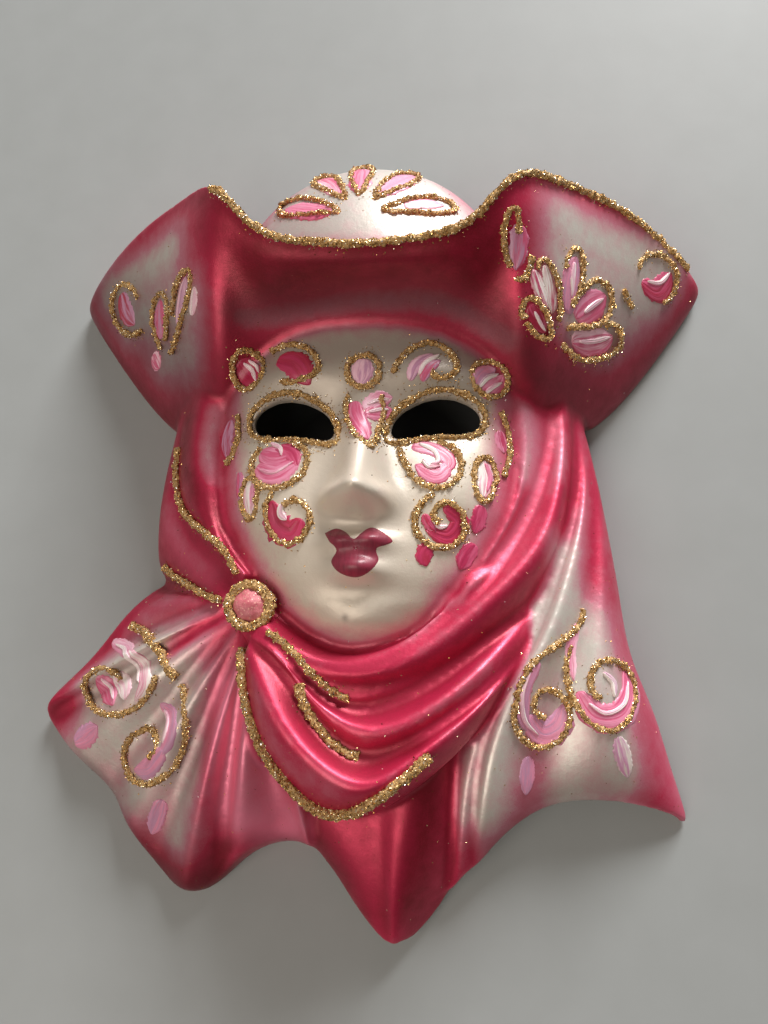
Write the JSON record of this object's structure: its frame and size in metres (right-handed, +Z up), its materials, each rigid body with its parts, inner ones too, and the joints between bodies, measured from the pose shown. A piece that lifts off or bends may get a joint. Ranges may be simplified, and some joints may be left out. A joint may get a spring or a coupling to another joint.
{
  "type": "decorative wall mask",
  "caption": "Half-size ceramic wall mask with a tricorn hat, a hood and pleated drapes; its hollow crown holds a wire loop for hanging it on a nail.",
  "frame": {"origin": "middle of the flat back rim at the top of the hat crown, in the wall plane", "axes": "+Z up, +X to the viewer's right, +Y into the wall, so the face looks along -Y"},
  "size_m": [0.2058, 0.0668, 0.2396],
  "materials": {
    "painted_ceramic": "silver pearl and crimson airbrush, satin",
    "gold_glitter": "raised glitter glue, gold flakes",
    "brooch_pink": "matt pink paint with glitter",
    "bare_ceramic": "unpainted bisque",
    "loop_wire": "drawn wire",
    "petal_paint": "brushed acrylic paint",
    "lip_paint": "brushed acrylic paint"
  },
  "bodies": {
    "mask": {"brim_edge_glitter": "gold_glitter", "brooch_ring": "gold_glitter", "brooch_stone": "brooch_pink", "chin_wrap": "painted_ceramic", "collar_folds": "painted_ceramic", "collar_glitter": "gold_glitter", "crown_glitter": "gold_glitter", "drape_tail": "painted_ceramic", "face_shell": "painted_ceramic", "fan_glitter": "gold_glitter", "fold_glitter": "gold_glitter", "forehead_glitter": "gold_glitter", "hat_crown": "painted_ceramic", "hem_glitter": "gold_glitter", "hood_glitter": "gold_glitter", "hood_left": "painted_ceramic", "left_brow_glitter": "gold_glitter", "left_cheek_glitter": "gold_glitter", "left_eye_glitter": "gold_glitter", "left_temple_glitter": "gold_glitter", "left_wing_glitter": "gold_glitter", "loop_lug_left": "bare_ceramic", "loop_lug_right": "bare_ceramic", "pleated_fan": "painted_ceramic", "right_brow_glitter": "gold_glitter", "right_cheek_glitter": "gold_glitter", "right_eye_glitter": "gold_glitter", "right_temple_glitter": "gold_glitter", "right_wing_glitter": "gold_glitter", "shoulder_drape": "painted_ceramic", "shoulder_glitter": "gold_glitter", "tricorn_brim": "painted_ceramic"},
    "loop": {"hanging_loop": "loop_wire"}
  },
  "joints": [
    {"name": "loop_hinge", "type": "hinge", "parent": "mask", "child": "loop", "pos_m": [-0.0025, -0.008, -0.017], "axis": [1, 0, 0], "range_deg": [-110, 70]}
  ]
}
